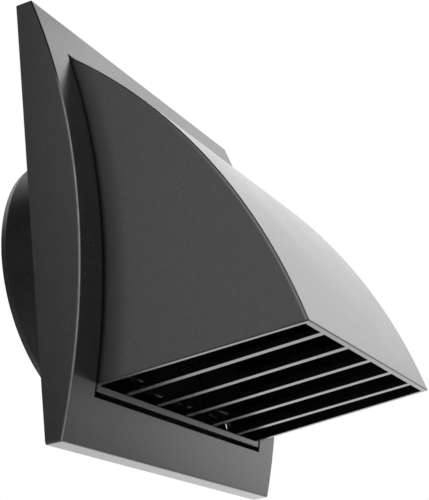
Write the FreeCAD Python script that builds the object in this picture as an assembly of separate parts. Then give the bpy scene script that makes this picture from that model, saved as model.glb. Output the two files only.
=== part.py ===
import FreeCAD, Part
import math
import os

# Dryer vent cap for a 100 mm duct: a square face frame with a projecting hood, moulded in plastic.
# The hood opens downwards through five bars. Behind the frame lies a base plate with the duct spigot,
# and a flap hangs in front of the duct and shuts it when no air blows.
# Millimetres. X runs to the right as seen from outside, Y runs into the wall, Z runs up.
# The origin is on the duct's axis, in the plane of the wall.

# Base plate and duct spigot
BASE_THICKNESS = 2.1
BASE_CORNER_RADIUS = 2.0
SPIGOT_DIAMETER = 98.0
SPIGOT_WALL = 1.8
SPIGOT_LENGTH = 29.3
SPIGOT_ROOT_CHAMFER = 1.0
LEAD_IN_LENGTH = 2.5
LEAD_IN_DROP = 0.9

# Wall screws go through four holes that lie inside the hood's mouth
SCREW_SPACING_X = 108.0
SCREW_SPACING_Z = 98.0
SCREW_HOLE_DIAMETER = 5.4

# Face frame, a shell whose front is bowed about a level axis
FRAME_SIZE = 150.0
FRAME_EDGE_DEPTH = 5.8
FRAME_CROWN_DEPTH = 17.6
FRAME_WALL = 2.2
FRAME_CORNER_RADIUS = 0.8
FRAME_EDGE_RADIUS = 0.7
BASE_CLEARANCE = 0.3
WINDOW_CLEARANCE = 0.5
WINDOW_EDGE_RADIUS = 0.3
DRAIN_GAP = 1.5
RIM_WALL = 1.8
FRAME_RIB_WIDTH = 1.6
FRAME_RIB_OFFSETS = (-40.0, 0.0, 40.0)
FLANGE_CLEARANCE = 0.2

# Snap lugs inside the frame's skirt and their notches in the base plate
LUG_OFFSETS = (-24.0, 24.0)
LUG_WIDTH = 10.0
LUG_REACH = 1.0
LUG_HEIGHT = 1.0
LUG_CLEARANCE = 0.2

# Hood
HOOD_WALL = 2.0
HOOD_REAR_WIDTH = 121.4
HOOD_DRAFT_DEG = 2.5
HOOD_TOP_Z = 58.4
HOOD_ARC_RADIUS = 204.0
LIP_REACH = 81.2
LIP_Z = -51.2
SILL_TOP_Z = -56.0
SILL_HEIGHT = 2.2
HOOD_EDGE_RADIUS = 0.4
SILL_CREST_RADIUS = 0.3
FLANGE_THICKNESS = 2.0
FLANGE_WIDTH = 4.0

# Grille bars under the hood
BAR_COUNT = 5
BAR_PITCH = 20.8
BAR_WIDTH = 2.8
BAR_HEIGHT = 2.0
BAR_LAP_ON_SILL = 4.0

# Flap, hung from a steel pin between two ears
HINGE_Y = -5.6
HINGE_Z = 52.3
SEAT_TILT_DEG = 1.5
SEAT_GAP = 0.3
FLAP_WIDTH = 100.0
FLAP_TOP_Z = 49.0
FLAP_FOOT_Z = -49.4
FLAP_CORNER_RADIUS = 5.0
FLAP_LIP_WIDTH = 51.0
FLAP_LIP_DROP = 3.0
FLAP_THICKNESS = 1.4
FLAP_BEHIND_AXIS = 0.9
FLAP_RIM_WIDTH = 1.5
FLAP_RIM_HEIGHT = 1.8
FLAP_RIB_WIDTH = 1.2
FLAP_RIB_HEIGHT = 1.2
FLAP_RIB_OFFSETS = (-20.0, 20.0)
KNUCKLE_SPACING = 44.0
KNUCKLE_LENGTH = 12.0
KNUCKLE_RADIUS = 2.6
KNUCKLE_END_GAP = 0.4
PIN_DIAMETER = 2.5
PIN_RUNNING_CLEARANCE = 0.1
PIN_PRESS_CLEARANCE = 0.02
PIN_OVERHANG = 1.0
PIN_CHAMFER = 0.2
EAR_THICKNESS = 3.0
EAR_RADIUS = 2.9

# Derived planes and radii
FLANGE_FRONT_Y = -(BASE_THICKNESS + FLANGE_THICKNESS)
SPIGOT_RADIUS = SPIGOT_DIAMETER / 2
BORE_RADIUS = SPIGOT_RADIUS - SPIGOT_WALL
SKIRT_INNER_HALF = FRAME_SIZE / 2 - FRAME_WALL
SILL_BOTTOM_Z = SILL_TOP_Z - SILL_HEIGHT
PIN_RADIUS = PIN_DIAMETER / 2
OVERCUT = 5.0


def vec(x, y, z):
    return FreeCAD.Vector(x, y, z)


def box(x0, x1, y0, y1, z0, z1):
    return Part.makeBox(x1 - x0, y1 - y0, z1 - z0, vec(x0, y0, z0))


def rod_along_x(radius, x0, x1, y, z):
    return Part.makeCylinder(radius, x1 - x0, vec(x0, y, z), vec(1, 0, 0))


def rod_along_y(radius, y0, y1, x=0.0, z=0.0):
    return Part.makeCylinder(radius, y1 - y0, vec(x, y0, z), vec(0, 1, 0))


def side_prism(half_width, start, steps):
    """Extrude a side outline, given as (y, z) points, across the full width.
    A step is one point for a straight run, or two points for an arc through the first to the second."""
    edges = []
    here = start
    for step in steps + [(start,)]:
        end = step[-1]
        if len(step) == 2:
            edges.append(Part.Arc(vec(0, *here), vec(0, *step[0]), vec(0, *end)).toShape())
        else:
            edges.append(Part.makeLine(vec(0, *here), vec(0, *end)))
        here = end
    face = Part.Face(Part.Wire(edges))
    face.translate(vec(-half_width, 0, 0))
    return face.extrude(vec(2 * half_width, 0, 0))


def fillet_where(shape, radius, wanted):
    """Round the edges whose middle point is wanted."""
    chosen = [edge for edge in shape.Edges if wanted(edge_middle(edge))]
    return shape.makeFillet(radius, chosen)


def edge_middle(edge):
    return edge.valueAt((edge.FirstParameter + edge.LastParameter) / 2)


def near(value, target):
    return abs(value - target) < 0.01


# Bowed front of the frame

def crown_radius():
    half = FRAME_SIZE / 2
    rise = FRAME_CROWN_DEPTH - FRAME_EDGE_DEPTH
    return (half ** 2 + rise ** 2) / (2 * rise)


def frame_front_y(z, inset=0.0):
    """Y of the frame's bowed front at height z, or of a surface inset behind it."""
    radius = crown_radius()
    return radius - FRAME_CROWN_DEPTH - math.sqrt((radius - inset) ** 2 - z ** 2)


def bowed_block(inset, rear_y):
    """Block under the bowed front: its sides and front are inset, its rear is flat."""
    half = FRAME_SIZE / 2 - inset
    edge_y = frame_front_y(half, inset)
    crown_y = frame_front_y(0.0, inset)
    return side_prism(half, (rear_y, -half), [
        ((edge_y, -half),),
        ((crown_y, 0.0), (edge_y, half)),
        ((rear_y, half),)])


def around_square(make):
    """Fuse four copies of a feature made on the +X side, one on each side of the square."""
    copies = []
    for quarter in range(4):
        copy = make()
        copy.rotate(vec(0, 0, 0), vec(0, 1, 0), 90.0 * quarter)
        copies.append(copy)
    return copies[0].multiFuse(copies[1:])


# Window in the frame, a clearance wider than the hood

def window_box(wall, y0, y1):
    """Box of the window, grown by a wall all round."""
    half = HOOD_REAR_WIDTH / 2 + WINDOW_CLEARANCE + wall
    low = SILL_BOTTOM_Z - DRAIN_GAP - wall
    high = HOOD_TOP_Z + WINDOW_CLEARANCE + wall
    return box(-half, half, y0, y1, low, high)


def snap_lugs(clearance):
    """Small wedges on the skirt's inner side that hook behind the base plate's edge."""
    def one_side():
        lugs = []
        for offset in LUG_OFFSETS:
            half = LUG_WIDTH / 2 + clearance
            inner = SKIRT_INNER_HALF - LUG_REACH - clearance
            front = -LUG_HEIGHT - clearance
            corners = [vec(SKIRT_INNER_HALF, front, 0), vec(inner, front, 0), vec(SKIRT_INNER_HALF, 0, 0)]
            if clearance:
                corners.insert(2, vec(inner, 0, 0))
            wedge = Part.Face(Part.makePolygon(corners + corners[:1])).extrude(vec(0, 0, 2 * half))
            wedge.translate(vec(0, 0, offset - half))
            lugs.append(wedge)
        return lugs[0].multiFuse(lugs[1:])
    return around_square(one_side)


def frame_ribs():
    """Webs between the window's rim and the skirt, standing on the base plate and clear of the flange."""
    def one_side():
        webs = []
        for offset in FRAME_RIB_OFFSETS:
            low = offset - FRAME_RIB_WIDTH / 2
            webs.append(box(HOOD_REAR_WIDTH / 2, FRAME_SIZE / 2 - FRAME_WALL / 2,
                            -FRAME_CROWN_DEPTH, -BASE_THICKNESS, low, low + FRAME_RIB_WIDTH))
        return webs[0].multiFuse(webs[1:])
    ribs = around_square(one_side).common(bowed_block(FRAME_WALL / 2, 0.0))
    return ribs.cut(flange_plate(FLANGE_CLEARANCE))


def make_face_frame():
    half = FRAME_SIZE / 2
    block = bowed_block(0.0, 0.0)
    block = fillet_where(block, FRAME_CORNER_RADIUS,
                         lambda p: near(abs(p.x), half) and near(abs(p.z), half))
    block = fillet_where(block, FRAME_EDGE_RADIUS,
                         lambda p: p.y < -FRAME_EDGE_DEPTH * 0.75)
    shell = block.cut(bowed_block(FRAME_WALL, OVERCUT))
    rim = window_box(RIM_WALL, -FRAME_CROWN_DEPTH - OVERCUT, FLANGE_FRONT_Y)
    rim = rim.common(bowed_block(FRAME_WALL / 2, 0.0))
    frame = shell.multiFuse([rim, frame_ribs(), snap_lugs(0.0)])
    frame = frame.cut(window_box(0.0, -FRAME_CROWN_DEPTH - OVERCUT, OVERCUT))
    frame = frame.removeSplitter()
    window_half = HOOD_REAR_WIDTH / 2 + WINDOW_CLEARANCE
    window_low = SILL_BOTTOM_Z - DRAIN_GAP
    window_high = HOOD_TOP_Z + WINDOW_CLEARANCE

    def on_window_front(p):
        on_side = near(abs(p.x), window_half) and near(p.y, frame_front_y(p.z))
        on_end = (near(p.z, window_low) or near(p.z, window_high)) and near(p.y, frame_front_y(p.z))
        return on_side or on_end
    return fillet_where(frame, WINDOW_EDGE_RADIUS, on_window_front)


# Hood

def hood_tip():
    """Where the hood's curved top leaves the frame's bowed front."""
    return (frame_front_y(HOOD_TOP_Z), HOOD_TOP_Z)


def hood_arc_centre():
    """Centre of the arc from the tip to the lip, on the inner side of the hood."""
    tip_y, tip_z = hood_tip()
    run_y = -LIP_REACH - tip_y
    run_z = LIP_Z - tip_z
    chord = math.hypot(run_y, run_z)
    rise = math.sqrt(HOOD_ARC_RADIUS ** 2 - (chord / 2) ** 2)
    return (tip_y + run_y / 2 - rise * run_z / chord, tip_z + run_z / 2 + rise * run_y / chord)


def hood_arc_y(z, inset=0.0):
    centre_y, centre_z = hood_arc_centre()
    return centre_y - math.sqrt((HOOD_ARC_RADIUS - inset) ** 2 - (z - centre_z) ** 2)


def sill_crest_y():
    """Y of the sill's upper front edge. The sill's front follows the frame's bow."""
    return frame_front_y(SILL_TOP_Z)


def grille_z(y):
    """Height of the grille's underside, which rises from the sill to the lip."""
    slope = (LIP_Z - SILL_TOP_Z) / (-LIP_REACH - sill_crest_y())
    return SILL_TOP_Z + slope * (y - sill_crest_y())


def cheek_x(y, inset=0.0):
    """X of the right cheek's outside at depth y, or of a surface inset from it."""
    return HOOD_REAR_WIDTH / 2 - inset + math.tan(math.radians(HOOD_DRAFT_DEG)) * (y + BASE_THICKNESS)


def between_cheeks(inset):
    """Space between the two drafted cheeks, from behind the flange to past the lip."""
    rear_y = OVERCUT
    front_y = -LIP_REACH - OVERCUT
    rear_half = cheek_x(rear_y, inset)
    front_half = cheek_x(front_y, inset)
    low = -FRAME_SIZE
    corners = [vec(-rear_half, rear_y, low), vec(rear_half, rear_y, low),
               vec(front_half, front_y, low), vec(-front_half, front_y, low)]
    face = Part.Face(Part.makePolygon(corners + corners[:1]))
    return face.extrude(vec(0, 0, 2 * FRAME_SIZE))


def hood_outer():
    middle_z = (HOOD_TOP_Z + LIP_Z) / 2
    rear_y = -BASE_THICKNESS
    foot_y = frame_front_y(SILL_BOTTOM_Z)
    side = side_prism(FRAME_SIZE / 2, (rear_y, HOOD_TOP_Z), [
        (hood_tip(),),
        ((hood_arc_y(middle_z), middle_z), (-LIP_REACH, LIP_Z)),
        ((sill_crest_y(), SILL_TOP_Z),),
        ((foot_y, SILL_BOTTOM_Z),),
        ((rear_y, SILL_BOTTOM_Z),)])
    body = side.common(between_cheeks(0.0))

    def visible_edge(p):
        on_cheek = near(abs(p.x), cheek_x(p.y)) and p.y < foot_y
        on_lip = near(p.y, -LIP_REACH) and near(p.z, LIP_Z)
        under_sill = near(p.y, foot_y) and near(p.z, SILL_BOTTOM_Z)
        return on_cheek or on_lip or under_sill
    return fillet_where(body, HOOD_EDGE_RADIUS, visible_edge)


def hood_cavity():
    """Inside of the hood, open at the rear and all along the grille."""
    top_z = HOOD_TOP_Z - HOOD_WALL
    middle_z = (top_z + LIP_Z) / 2
    low_z = LIP_Z - HOOD_WALL
    below_z = SILL_BOTTOM_Z - OVERCUT
    side = side_prism(FRAME_SIZE / 2, (OVERCUT, top_z), [
        ((hood_arc_y(top_z, HOOD_WALL), top_z),),
        ((hood_arc_y(middle_z, HOOD_WALL), middle_z), (hood_arc_y(low_z, HOOD_WALL), low_z)),
        ((hood_arc_y(low_z, HOOD_WALL), below_z),),
        ((sill_crest_y(), below_z),),
        ((sill_crest_y(), SILL_TOP_Z),),
        ((OVERCUT, SILL_TOP_Z),)])
    return side.common(between_cheeks(HOOD_WALL))


def flange_plate(clearance):
    """Plate all round the hood's rear, held between the window's rim and the base plate."""
    reach = FLANGE_WIDTH + clearance
    half = HOOD_REAR_WIDTH / 2 + reach
    return box(-half, half, FLANGE_FRONT_Y, -BASE_THICKNESS, SILL_BOTTOM_Z - reach, HOOD_TOP_Z + reach)


def grille_bars():
    """Bars from the lip to the sill, their undersides in the plane of the grille."""
    front_y = -LIP_REACH
    rear_y = sill_crest_y() + BAR_LAP_ON_SILL
    bars = []
    for index in range(BAR_COUNT):
        x = (index - (BAR_COUNT - 1) / 2) * BAR_PITCH
        bar = side_prism(BAR_WIDTH / 2, (front_y, grille_z(front_y)), [
            ((rear_y, grille_z(rear_y)),),
            ((rear_y, grille_z(rear_y) + BAR_HEIGHT),),
            ((front_y, grille_z(front_y) + BAR_HEIGHT),)])
        bar.translate(vec(x, 0, 0))
        bars.append(bar)
    return bars


def make_hood():
    outer = hood_outer()
    shell = outer.fuse(flange_plate(0.0)).cut(hood_cavity())
    shell = fillet_where(shell, SILL_CREST_RADIUS,
                         lambda p: near(p.y, sill_crest_y()) and near(p.z, SILL_TOP_Z) and near(p.x, 0))
    bars = [bar.common(outer) for bar in grille_bars()]
    return shell.multiFuse(bars).removeSplitter()


# Base plate with duct spigot, flap seat and hinge ears

def leaned(shape):
    """Lean a shape made upright about the hinge axis, so that its foot comes forward with the seat."""
    shape.rotate(vec(0, HINGE_Y, HINGE_Z), vec(1, 0, 0), -SEAT_TILT_DEG)
    return shape


def spigot():
    """Tube behind the plate with a lead-in at its end, turned about the duct's axis."""
    root = SPIGOT_ROOT_CHAMFER
    lead_in_radius = SPIGOT_RADIUS - LEAD_IN_DROP
    plate_y = -BASE_THICKNESS / 2
    profile = Part.Wire([
        Part.makeLine(vec(BORE_RADIUS, plate_y, 0), vec(SPIGOT_RADIUS + root, plate_y, 0)),
        Part.makeLine(vec(SPIGOT_RADIUS + root, plate_y, 0), vec(SPIGOT_RADIUS + root, 0, 0)),
        Part.makeLine(vec(SPIGOT_RADIUS + root, 0, 0), vec(SPIGOT_RADIUS, root, 0)),
        Part.makeLine(vec(SPIGOT_RADIUS, root, 0), vec(SPIGOT_RADIUS, SPIGOT_LENGTH - LEAD_IN_LENGTH, 0)),
        Part.makeLine(vec(SPIGOT_RADIUS, SPIGOT_LENGTH - LEAD_IN_LENGTH, 0),
                      vec(lead_in_radius, SPIGOT_LENGTH, 0)),
        Part.makeLine(vec(lead_in_radius, SPIGOT_LENGTH, 0), vec(BORE_RADIUS, SPIGOT_LENGTH, 0)),
        Part.makeLine(vec(BORE_RADIUS, SPIGOT_LENGTH, 0), vec(BORE_RADIUS, plate_y, 0))])
    return Part.Face(profile).revolve(vec(0, 0, 0), vec(0, 1, 0), 360)


def flap_seat():
    """Collar in front of the plate, cut at the lean of the flap."""
    seat_y = HINGE_Y + FLAP_BEHIND_AXIS + SEAT_GAP
    depth = SPIGOT_RADIUS
    collar = rod_along_y(SPIGOT_RADIUS, -depth, -BASE_THICKNESS / 2)
    collar = collar.cut(rod_along_y(BORE_RADIUS, -depth, 0))
    in_front = box(-FRAME_SIZE, FRAME_SIZE, seat_y - 2 * depth, seat_y, -FRAME_SIZE, FRAME_SIZE)
    return collar.cut(leaned(in_front))


def ear_span():
    """X of the inner and outer side of the right-hand ear."""
    inner = (KNUCKLE_SPACING + KNUCKLE_LENGTH) / 2 + KNUCKLE_END_GAP
    return inner, inner + EAR_THICKNESS


def hinge_ears():
    inner, outer = ear_span()
    ears = []
    for side in (-1, 1):
        x0, x1 = sorted((side * inner, side * outer))
        foot = box(x0, x1, HINGE_Y, -BASE_THICKNESS / 2, HINGE_Z - EAR_RADIUS, HINGE_Z + EAR_RADIUS)
        ears.append(foot.fuse(rod_along_x(EAR_RADIUS, x0, x1, HINGE_Y, HINGE_Z)))
    return ears


def screw_holes():
    return [rod_along_y(SCREW_HOLE_DIAMETER / 2, -BASE_THICKNESS - OVERCUT, OVERCUT, x, z)
            for x in (-SCREW_SPACING_X / 2, SCREW_SPACING_X / 2)
            for z in (-SCREW_SPACING_Z / 2, SCREW_SPACING_Z / 2)]


def make_base_plate():
    half = SKIRT_INNER_HALF - BASE_CLEARANCE
    plate = box(-half, half, -BASE_THICKNESS, 0, -half, half)
    plate = fillet_where(plate, BASE_CORNER_RADIUS, lambda p: near(abs(p.x), half) and near(abs(p.z), half))
    plate = plate.cut(snap_lugs(LUG_CLEARANCE))
    body = plate.multiFuse([spigot(), flap_seat()] + hinge_ears())
    body = body.cut(rod_along_y(BORE_RADIUS, -SPIGOT_LENGTH, SPIGOT_LENGTH + OVERCUT))
    outer = ear_span()[1]
    body = body.cut(rod_along_x(PIN_RADIUS + PIN_PRESS_CLEARANCE, -outer, outer, HINGE_Y, HINGE_Z))
    return body.cut(screw_holes()).removeSplitter()


# Flap and its pin

def flap_block(inset, y0, y1):
    """Block of the flap's outline, a square with a lip in the middle of its foot, inset all round."""
    half = FLAP_WIDTH / 2 - inset
    foot_z = FLAP_FOOT_Z + inset
    square = box(-half, half, y0, y1, foot_z, FLAP_TOP_Z - inset)
    square = fillet_where(square, FLAP_CORNER_RADIUS - inset,
                          lambda p: near(abs(p.x), half) and near(p.z, foot_z))
    lip_half = FLAP_LIP_WIDTH / 2 - inset
    return square.fuse(box(-lip_half, lip_half, y0, y1, foot_z - FLAP_LIP_DROP, 0))


def make_backdraft_flap():
    """Flap with a stiffened rim and two knuckles, made upright and then leaned onto its seat."""
    rear_y = HINGE_Y + FLAP_BEHIND_AXIS
    front_y = rear_y - FLAP_THICKNESS
    plate = flap_block(0.0, front_y, rear_y)
    rim = flap_block(0.0, front_y - FLAP_RIM_HEIGHT, front_y)
    rim = rim.cut(flap_block(FLAP_RIM_WIDTH, front_y - FLAP_RIM_HEIGHT, front_y))
    half = FLAP_RIB_WIDTH / 2
    reach = FLAP_WIDTH / 2
    rib_y = front_y - FLAP_RIB_HEIGHT
    inside = flap_block(FLAP_RIM_WIDTH / 2, rib_y, front_y)
    ribs = [box(x - half, x + half, rib_y, front_y, -FRAME_SIZE, FLAP_TOP_Z) for x in FLAP_RIB_OFFSETS]
    ribs.append(box(-reach, reach, rib_y, front_y, -half, half))
    ribs = [rib.common(inside) for rib in ribs]
    knuckles = []
    for x in (-KNUCKLE_SPACING / 2, KNUCKLE_SPACING / 2):
        x0, x1 = x - KNUCKLE_LENGTH / 2, x + KNUCKLE_LENGTH / 2
        knuckles.append(box(x0, x1, front_y, rear_y, FLAP_TOP_Z - FLAP_RIM_WIDTH, HINGE_Z))
        knuckles.append(rod_along_x(KNUCKLE_RADIUS, x0, x1, HINGE_Y, HINGE_Z))
    flap = plate.multiFuse([rim] + ribs + knuckles)
    flap = flap.cut(rod_along_x(PIN_RADIUS + PIN_RUNNING_CLEARANCE, -reach, reach, HINGE_Y, HINGE_Z))
    return leaned(flap.removeSplitter())


def make_flap_hinge_pin():
    half = ear_span()[1] + PIN_OVERHANG
    pin = rod_along_x(PIN_RADIUS, -half, half, HINGE_Y, HINGE_Z)
    ends = [edge for edge in pin.Edges if near(edge.Length, 2 * math.pi * PIN_RADIUS)]
    return pin.makeChamfer(PIN_CHAMFER, ends)


PIECES = {
    "face_frame": make_face_frame,
    "hood": make_hood,
    "base_plate": make_base_plate,
    "backdraft_flap": make_backdraft_flap,
    "flap_hinge_pin": make_flap_hinge_pin,
}

os.makedirs("parts", exist_ok=True)
for name, make in PIECES.items():
    shape = make()
    solids = shape.Solids
    print(name, "solids", len(solids), "valid", shape.isValid(), "volume cm3", round(shape.Volume / 1000, 2))
    shape.exportStep("parts/" + name + ".step")
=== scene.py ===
import math

import bpy
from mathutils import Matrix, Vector

# Looks of the dryer vent cap: satin plastics with an eroded grain, a drawn steel pin, a pale studio.
# Metres, in the part's own frame: +X right as seen from outside, +Y into the wall, +Z up.

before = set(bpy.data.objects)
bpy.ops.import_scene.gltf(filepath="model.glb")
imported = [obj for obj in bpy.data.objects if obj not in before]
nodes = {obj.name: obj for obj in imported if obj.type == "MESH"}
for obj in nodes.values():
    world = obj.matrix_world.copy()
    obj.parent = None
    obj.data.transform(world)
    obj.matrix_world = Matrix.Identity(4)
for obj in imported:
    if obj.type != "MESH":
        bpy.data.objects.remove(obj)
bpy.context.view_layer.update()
scene = bpy.context.scene


class Socket:
    """A shader socket that takes part in Python arithmetic by adding Math nodes."""

    def __init__(self, graph, socket):
        self.graph = graph
        self.socket = socket

    def _math(self, operation, *values, clamp=False):
        return self.graph.node("ShaderNodeMath", {"operation": operation, "use_clamp": clamp},
                               {i: v for i, v in enumerate(values)})

    def __add__(self, other):
        return self._math("ADD", self, other)

    def __radd__(self, other):
        return self._math("ADD", other, self)

    def __sub__(self, other):
        return self._math("SUBTRACT", self, other)

    def __rsub__(self, other):
        return self._math("SUBTRACT", other, self)

    def __mul__(self, other):
        return self._math("MULTIPLY", self, other)

    def __rmul__(self, other):
        return self._math("MULTIPLY", other, self)

    def __abs__(self):
        return self._math("ABSOLUTE", self)

    def root(self):
        return self._math("SQRT", self)

    def clamped(self):
        """The value held between 0 and 1."""
        return self._math("ADD", self, 0.0, clamp=True)

    def between(self, low, high):
        """0 below low, 1 above high, and a smooth step between them."""
        return self.graph.node("ShaderNodeMapRange", {"interpolation_type": "SMOOTHSTEP"},
                               {"Value": self, "From Min": low, "From Max": high})

    def near_zero(self, low, high):
        """1 below low, 0 above high, and a smooth step between them."""
        return 1.0 - self.between(low, high)


class Graph:
    """The node tree of a material or of the world, with the one shader that it ends in."""

    def __init__(self, owner, shader_kind, output_kind, result):
        owner.use_nodes = True
        self.owner = owner
        self.tree = owner.node_tree
        self.tree.nodes.clear()
        self.shader = self.tree.nodes.new(shader_kind)
        output = self.tree.nodes.new(output_kind)
        self.tree.links.new(self.shader.outputs[result], output.inputs["Surface"])

    def feed(self, socket, value):
        """Link a Socket, or write a plain value."""
        if isinstance(value, Socket):
            self.tree.links.new(value.socket, socket)
        else:
            socket.default_value = value

    def node(self, kind, settings, inputs, output=0):
        """Add a node: its settings first, then what feeds its sockets. Gives the output asked for."""
        made = self.tree.nodes.new(kind)
        for key, value in settings.items():
            setattr(made, key, value)
        for key, value in inputs.items():
            self.feed(made.inputs[key], value)
        return Socket(self, made.outputs[output])

    def ray_kinds(self):
        """Whether a ray comes from the camera, and whether it comes by gloss or glass."""
        camera, glossy, transmission = [self.node("ShaderNodeLightPath", {}, {}, kind)
                                        for kind in ("Is Camera Ray", "Is Glossy Ray", "Is Transmission Ray")]
        return camera, (glossy + transmission).clamped()

    def set(self, **inputs):
        """Feed the shader's sockets, with _ for the spaces in their names."""
        for key, value in inputs.items():
            self.feed(self.shader.inputs[key.replace("_", " ")], value)
        return self.owner


class Surface(Graph):
    """A material with one Principled shader, its patterns laid out in the part's frame."""

    def __init__(self, name):
        super().__init__(bpy.data.materials.new(name), "ShaderNodeBsdfPrincipled",
                         "ShaderNodeOutputMaterial", "BSDF")
        self.place = self.node("ShaderNodeTexCoord", {}, {}, "Object")

    def axis(self, letter):
        return self.node("ShaderNodeSeparateXYZ", {}, {"Vector": self.place}, letter)

    def noise(self, cell, detail=2.0, rough=0.5, stretch=(1.0, 1.0, 1.0)):
        """Noise from 0 to 1 about NOISE_MIDDLE, its features about one cell wide, in metres."""
        place = self.node("ShaderNodeVectorMath", {"operation": "MULTIPLY"}, {0: self.place, 1: stretch})
        return self.node("ShaderNodeTexNoise", {},
                         {"Vector": place, "Scale": 1.0 / cell, "Detail": detail, "Roughness": rough})

    def mix(self, factor, low, high):
        """Colour between low and high."""
        made = self.tree.nodes.new("ShaderNodeMix")
        made.data_type = "RGBA"
        self.feed(made.inputs["Factor"], factor)
        for socket, colour in ((made.inputs["A"], low), (made.inputs["B"], high)):
            self.feed(socket, colour if isinstance(colour, Socket) else (*colour, 1.0))
        return Socket(self, made.outputs["Result"])

    def bump(self, height, distance):
        """Relief of a height from 0 to 1, times a distance in metres."""
        return self.node("ShaderNodeBump", {}, {"Height": height, "Distance": distance})


# Where the casing's surfaces lie, for patterns that follow its edges

CROWN_RADIUS = 0.24425
CROWN_CENTRE = (0.22665, 0.0)
TOP_RADIUS = 0.204
TOP_CENTRE = (0.11659, -0.10117)
CHEEK_HALF_WIDTH = 0.0607
CHEEK_DRAFT = 0.04366
CHEEK_START_Y = -0.0021
LIP_Y = -0.0812
LIP_Z = -0.0512
GRILLE_SLOPE = -0.06847
FRAME_HALF_WIDTH = 0.075
WINDOW_HALF_WIDTH = 0.0612
WINDOW_LOW_Z = -0.0597
WINDOW_HIGH_Z = 0.0589


def round_depth(surface, radius, centre_y, centre_z):
    """Depth below a round surface whose axis runs along X, in metres."""
    y = surface.axis("Y") - centre_y
    z = surface.axis("Z") - centre_z
    return radius - (y * y + z * z).root()


def frame_front_depth(surface):
    """Depth below the frame's bowed front."""
    return round_depth(surface, CROWN_RADIUS, *CROWN_CENTRE)


def hood_depths(surface):
    """Depths below the hood's top, its nearer cheek and the plane of the grille."""
    x, y, z = [surface.axis(letter) for letter in "XYZ"]
    below_top = round_depth(surface, TOP_RADIUS, *TOP_CENTRE)
    within_cheek = (y - CHEEK_START_Y) * CHEEK_DRAFT + CHEEK_HALF_WIDTH - abs(x)
    above_grille = z - LIP_Z - (y - LIP_Y) * GRILLE_SLOPE
    return below_top, within_cheek, above_grille


# Plastics: cells of noise in metres, shares of the tone, bands of the noise's value, swings of roughness

NOISE_MIDDLE = 0.5
PEBBLE_SIZE = 0.0006
SPECK_SIZE = 0.0005
BLOTCH_SIZE = 0.003
CLOUD_SIZE = 0.03
TONE_SPREAD = (0.4, 1.6)
CLOUD_TONE_SHARE = 0.25
BLOTCH_TONE_SHARE = 0.35
PEBBLE_TONE_SHARE = 0.4
SPECK_BAND = (0.68, 0.78)
PIT_BAND = (0.24, 0.34)
CLOUD_ROUGHNESS = 0.06
BLOTCH_ROUGHNESS = 0.05
COARSE_ROUGHNESS = 0.14
DARK_ROUGHNESS = 0.02
# Near-black for the grain's pits and for painted shade, pale grey for painted highlights, paler specks of the
# grain.
PIT_AND_PAINTED_SHADE_TONE = (0.003, 0.003, 0.003)
PAINTED_HIGHLIGHT_TONE = (0.2, 0.2, 0.2)
SPECK_TONE = (0.12, 0.12, 0.12)


def grained_plastic(name, tone, roughness, ior=1.5, grain=0.000007, speckle=0.5,
                    dark=None, painted_highlight=None, coarse=None):
    """Dark grey plastic: a fine pebbled grain, slow clouds of tone and gloss, sparse pale specks and pits.
    Its places of painted shade are near-black and duller, its places of painted highlight paler and its
    coarse places less glossy."""
    surface = Surface(name)
    pebbles = surface.noise(PEBBLE_SIZE, detail=2.0, rough=0.6)
    blotches = surface.noise(BLOTCH_SIZE, detail=3.0, rough=0.6)
    clouds = surface.noise(CLOUD_SIZE, detail=3.0, rough=0.6)
    specks = surface.noise(SPECK_SIZE, detail=1.0)
    low, high = [(tone * share,) * 3 for share in TONE_SPREAD]
    level = clouds * CLOUD_TONE_SHARE + blotches * BLOTCH_TONE_SHARE + pebbles * PEBBLE_TONE_SHARE
    shade = surface.mix(level, low, high)
    shade = surface.mix(specks.between(*SPECK_BAND) * speckle, shade, SPECK_TONE)
    shade = surface.mix(specks.near_zero(*PIT_BAND) * speckle, shade, PIT_AND_PAINTED_SHADE_TONE)
    uneven = (clouds - NOISE_MIDDLE) * CLOUD_ROUGHNESS
    gloss = roughness + uneven + (blotches - NOISE_MIDDLE) * BLOTCH_ROUGHNESS
    if coarse:
        gloss = gloss + coarse(surface) * COARSE_ROUGHNESS
    # Painted highlight: paler where the given places lie.
    if painted_highlight:
        shade = surface.mix(painted_highlight(surface), shade, PAINTED_HIGHLIGHT_TONE)
    # Painted shade: near-black and a little duller where the given places lie.
    if dark:
        factor = dark(surface).clamped()
        shade = surface.mix(factor, shade, PIT_AND_PAINTED_SHADE_TONE)
        gloss = gloss + factor * DARK_ROUGHNESS
    return surface.set(Base_Color=shade, IOR=ior, Roughness=gloss,
                       Normal=surface.bump(pebbles, grain))


# Hood. Pairs of depths, and for the painted highlight's reach along Y a pair of places, between which a mark
# comes or goes: painted shade, painted highlight or coarser gloss.

HOOD_EDGE = (0.0002, 0.0005)
HOOD_INSIDE = (0.0005, 0.001)
BAR_INSIDE = (0.0001, 0.0003)
BEHIND_FRAME_FACE = (-0.0018, 0.0003)
CHEEK_SKIN = (0.0003, 0.0006)
COARSE_START = (0.0004, 0.0009)
# The last three shape the painted highlight beside the cheeks' curved edge.
HIGHLIGHT_BAND_END = (0.0007, 0.0013)
HIGHLIGHT_ALONG_Y = (-0.075, -0.035)
HIGHLIGHT_SHARE = 0.5


def hood_painted_shade(surface):
    """Painted shade: the hood's inside, a shadow where it meets the frame's face, from just in front of that
    face to behind it, and dark hairlines along the outer edges.
    """
    top, cheek, grille = hood_depths(surface)
    inside = top.between(*HOOD_INSIDE) * cheek.between(*HOOD_INSIDE) * grille.between(*BAR_INSIDE)
    painted_contact_shadow = frame_front_depth(surface).between(*BEHIND_FRAME_FACE)
    near_top, near_cheek, near_grille = [depth.near_zero(*HOOD_EDGE) for depth in (top, cheek, grille)]
    hairlines = near_top * near_cheek + near_top * near_grille + near_cheek * near_grille
    return inside + painted_contact_shadow + hairlines


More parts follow.
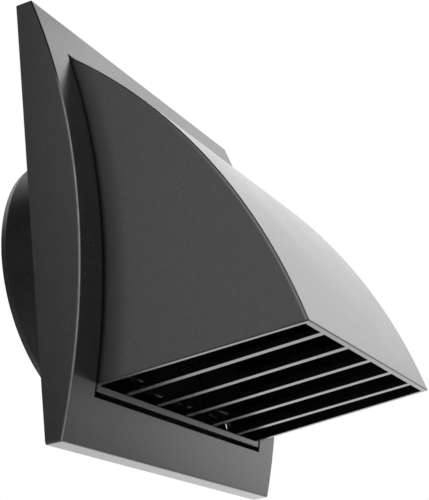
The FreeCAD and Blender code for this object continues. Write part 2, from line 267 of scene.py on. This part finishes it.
def hood_coarse_places(surface):
    """The cheeks, which look coarser than the top by less gloss alone."""
    top, cheek, grille = hood_depths(surface)
    return cheek.near_zero(*CHEEK_SKIN) * top.between(*COARSE_START)


def hood_painted_highlight(surface):
    """Painted highlight: a pale band on the cheeks beside their curved edge, more so towards the lip."""
    top, cheek, grille = hood_depths(surface)
    band = top.between(*HOOD_EDGE) * top.near_zero(*HIGHLIGHT_BAND_END) * cheek.near_zero(*HOOD_EDGE)
    return band * surface.axis("Y").near_zero(*HIGHLIGHT_ALONG_Y) * HIGHLIGHT_SHARE


# Face frame. Pairs of depths, and for EDGE_TURN_Z of heights, between which a mark of painted shade or
# painted highlight comes or goes.

FRAME_EDGE = (0.0002, 0.0006)
WINDOW_EDGE = (0.0001, 0.0005)
EDGE_TURN_Z = (0.038, 0.048)
# The painted highlight along the side edges: the cell of its unevenness, its least share and its spread.
EDGE_HIGHLIGHT_SIZE = 0.002
EDGE_HIGHLIGHT_LEAST = 0.5
EDGE_HIGHLIGHT_SPREAD = 0.6


def frame_side_edges(surface):
    """The long rounded edges at the left and right of the frame's bowed face."""
    near_side = (FRAME_HALF_WIDTH - abs(surface.axis("X"))).near_zero(*FRAME_EDGE)
    return near_side * frame_front_depth(surface).near_zero(*FRAME_EDGE)


def frame_painted_shade(surface):
    """Painted shade: the walls and rounded edges of the frame's window, and the upper ends of its long side
    edges.
    """
    x, z = surface.axis("X"), surface.axis("Z")
    near, far = WINDOW_EDGE
    beside = abs(x).near_zero(WINDOW_HALF_WIDTH + near, WINDOW_HALF_WIDTH + far)
    above = z.between(WINDOW_LOW_Z - far, WINDOW_LOW_Z - near)
    below = z.near_zero(WINDOW_HIGH_Z + near, WINDOW_HIGH_Z + far)
    return beside * above * below + frame_side_edges(surface) * z.between(*EDGE_TURN_Z)


def frame_painted_highlight(surface):
    """Painted highlight along the long side edges below their upper ends, unevenly, adding to the edge_strip
    lamp's.
    """
    along = surface.noise(EDGE_HIGHLIGHT_SIZE) * EDGE_HIGHLIGHT_SPREAD + EDGE_HIGHLIGHT_LEAST
    return frame_side_edges(surface) * along * surface.axis("Z").near_zero(*EDGE_TURN_Z)


# Flap. Its foot is lower at the lip in the middle. Pairs of places between which the painted highlight ends.

FLAP_FRONT_Y = (-0.0103, -0.0099)
FLAP_FOOT_Z = (-0.0490, -0.0488)
FLAP_LIP_FOOT_Z = (-0.0520, -0.0518)
FLAP_LIP_SIDE_X = (0.0255, 0.0258)
FLAP_HIGHLIGHT_SIZE = 0.004
FLAP_HIGHLIGHT_BAND = (0.4, 0.6)


def flap_painted_highlight(surface):
    """Painted highlight along the front edge at the foot of the flap's rim, broken here and there."""
    x, y, z = [surface.axis(letter) for letter in "XYZ"]
    foot = z.near_zero(*FLAP_FOOT_Z) * abs(x).between(*FLAP_LIP_SIDE_X)
    foot = foot + z.near_zero(*FLAP_LIP_FOOT_Z)
    broken = surface.noise(FLAP_HIGHLIGHT_SIZE).between(*FLAP_HIGHLIGHT_BAND)
    return y.near_zero(*FLAP_FRONT_Y) * foot * broken


# Pin of drawn steel wire, with fine lines along it

DRAW_LINE_SIZE = 0.00012
DRAW_STRETCH = (0.02, 1.0, 1.0)
DRAW_RELIEF = 0.000004
STEEL_DARK = (0.42, 0.42, 0.41)
STEEL_PALE = (0.62, 0.62, 0.6)
STEEL_ROUGHNESS = 0.22
DRAW_ROUGHNESS = 0.2


def pin_steel():
    surface = Surface("pin_steel")
    draw_lines = surface.noise(DRAW_LINE_SIZE, detail=3.0, rough=0.6, stretch=DRAW_STRETCH)
    return surface.set(Metallic=1.0,
                       Base_Color=surface.mix(draw_lines, STEEL_DARK, STEEL_PALE),
                       Roughness=STEEL_ROUGHNESS + draw_lines * DRAW_ROUGHNESS,
                       Normal=surface.bump(draw_lines, DRAW_RELIEF))


def dress(name, material):
    slots = nodes[name].data.materials
    slots.clear()
    slots.append(material)


dress("hood", grained_plastic("hood_plastic", tone=0.026, roughness=0.25, speckle=0.65,
                              dark=hood_painted_shade, painted_highlight=hood_painted_highlight, coarse=hood_coarse_places))
dress("face_frame", grained_plastic("frame_plastic", tone=0.013, roughness=0.26, grain=0.000005,
                                    dark=frame_painted_shade, painted_highlight=frame_painted_highlight))
dress("base_plate", grained_plastic("base_plastic", tone=0.011, roughness=0.28, ior=1.24, grain=0.000004))
dress("backdraft_flap", grained_plastic("flap_plastic", tone=0.006, roughness=0.3, ior=1.4,
                                        painted_highlight=flap_painted_highlight))
dress("flap_hinge_pin", pin_steel())


# Camera at the photograph's viewpoint, left of the cap and below it

CAMERA_PLACE = (-0.40989, -0.20976, -0.16494)
CAMERA_ANGLES = (110.4466, 6.2327, -63.8371)
CAMERA_LENS = 96.784
CAMERA_SENSOR = 36.0
CAMERA_NEAR = 0.01


def make_camera():
    data = bpy.data.cameras.new("photo_camera")
    data.lens = CAMERA_LENS
    data.sensor_width = CAMERA_SENSOR
    data.clip_start = CAMERA_NEAR
    camera = bpy.data.objects.new("photo_camera", data)
    camera.location = CAMERA_PLACE
    camera.rotation_euler = [math.radians(angle) for angle in CAMERA_ANGLES]
    scene.collection.objects.link(camera)
    scene.camera = camera


# Studio. FLOOR_FADE is the distances from the part between which the camera sees the floor turn white.

BLACK = (0.0, 0.0, 0.0)
WHITE = (1.0, 1.0, 1.0)
FLOOR_REACH = 4.0
FLOOR_HEIGHT = -0.45
FLOOR_TONE = (0.85, 0.85, 0.85)
FLOOR_ROUGHNESS = 0.9
FLOOR_GLOW = 0.1
FLOOR_FADE = (0.1, 1.6)
BACKDROP_DIRECTION = (0.86, 0.38, 0.34)
BACKDROP_EDGE = (0.2, 0.68)
CEILING_LEVEL = 0.5
CEILING_EDGE = (0.58, 0.8)
ROOM_LEVEL = 0.05
AMBIENT_LEVEL = 0.4
LAMP_AIM = (0.0, -0.03, 0.0)
LAMPS = {
    # name: (place, size, power)
    "right_panel": ((0.95, -0.12, 0.32), (1.24, 1.04), 2.1),
    "right_high": ((0.62, -0.4, 0.55), (0.6, 0.6), 0.8),
    "low_right": ((0.5, 0.16, -0.2), (0.5, 0.3), 0.55),
    "low_front": ((0.5, -0.12, -0.1), (0.3, 0.2), 0.07),
    "left_back": ((-0.9, 0.17, 0.3), (0.5, 0.6), 1.55),
    "left_front": ((-0.85, -0.3, 0.3), (0.4, 0.6), 1.4),
    "left_low": ((-0.8, 0.1, -0.12), (0.6, 0.2), 0.2),
    "edge_strip": ((-0.42, -0.82, 0.3), (0.16, 0.6), 2.8),
    "front": ((0.15, -1.05, 0.45), (0.8, 0.8), 0.8),
    "rear": ((0.3, 1.0, 0.1), (0.6, 0.4), 8.0),
    "rear_high": ((0.1, 0.75, 0.9), (0.7, 0.7), 1.3),
}


def make_floor():
    """Pale floor, well below the object. Camera, gloss and glass see it a little paler than it is lit,
    and the camera sees it fade into the white backdrop far from the object. From below it is clear."""
    corners = [(x * FLOOR_REACH, y * FLOOR_REACH, FLOOR_HEIGHT)
               for x, y in ((-1, -1), (1, -1), (1, 1), (-1, 1))]
    mesh = bpy.data.meshes.new("studio_floor")
    mesh.from_pydata(corners, [], [(0, 1, 2, 3)])
    floor = bpy.data.objects.new("studio_floor", mesh)
    scene.collection.objects.link(floor)
    surface = Surface("pale_floor")
    camera, gloss_or_glass = surface.ray_kinds()
    x, y = surface.axis("X"), surface.axis("Y")
    far = camera * (x * x + y * y).root().between(*FLOOR_FADE)
    level = (camera + gloss_or_glass).clamped() * FLOOR_GLOW
    from_below = surface.node("ShaderNodeNewGeometry", {}, {}, "Backfacing")
    surface.set(Base_Color=(*FLOOR_TONE, 1.0), Roughness=FLOOR_ROUGHNESS, Alpha=1.0 - from_below,
                Emission_Color=surface.mix((level + far).clamped(), BLACK, WHITE), Emission_Strength=1.0)
    mesh.materials.append(surface.owner)


def make_world():
    """White for the camera. Gloss and glass see the white backdrop too, with a dim ceiling above it
    and a dark room on the camera's side. All else gets an even, plain light."""
    graph = Graph(bpy.data.worlds.new("studio_world"), "ShaderNodeBackground",
                  "ShaderNodeOutputWorld", "Background")
    scene.world = graph.owner
    direction = graph.node("ShaderNodeTexCoord", {}, {}, "Generated")
    towards_backdrop = graph.node("ShaderNodeVectorMath", {"operation": "DOT_PRODUCT"},
                                  {0: direction, 1: BACKDROP_DIRECTION}, "Value")
    height = graph.node("ShaderNodeSeparateXYZ", {}, {"Vector": direction}, "Z")
    ceiling = 1.0 - (1.0 - CEILING_LEVEL) * height.between(*CEILING_EDGE)
    backdrop = towards_backdrop.between(*BACKDROP_EDGE) * ceiling
    tent = ROOM_LEVEL + (1.0 - ROOM_LEVEL) * backdrop
    camera, gloss_or_glass = graph.ray_kinds()
    indirect = gloss_or_glass * tent + (1.0 - gloss_or_glass) * AMBIENT_LEVEL
    graph.set(Color=(*WHITE, 1.0), Strength=camera + (1.0 - camera) * indirect)


def area_lamp(name, place, size, power):
    data = bpy.data.lights.new(name, "AREA")
    data.shape = "RECTANGLE"
    data.size, data.size_y = size
    data.energy = power
    lamp = bpy.data.objects.new(name, data)
    lamp.location = place
    lamp.visible_camera = False
    lamp.rotation_euler = (Vector(LAMP_AIM) - Vector(place)).to_track_quat("-Z", "Y").to_euler()
    scene.collection.objects.link(lamp)


make_camera()
make_floor()
make_world()
for name, (place, size, power) in LAMPS.items():
    area_lamp(name, place, size, power)

scene.view_settings.view_transform = "Standard"
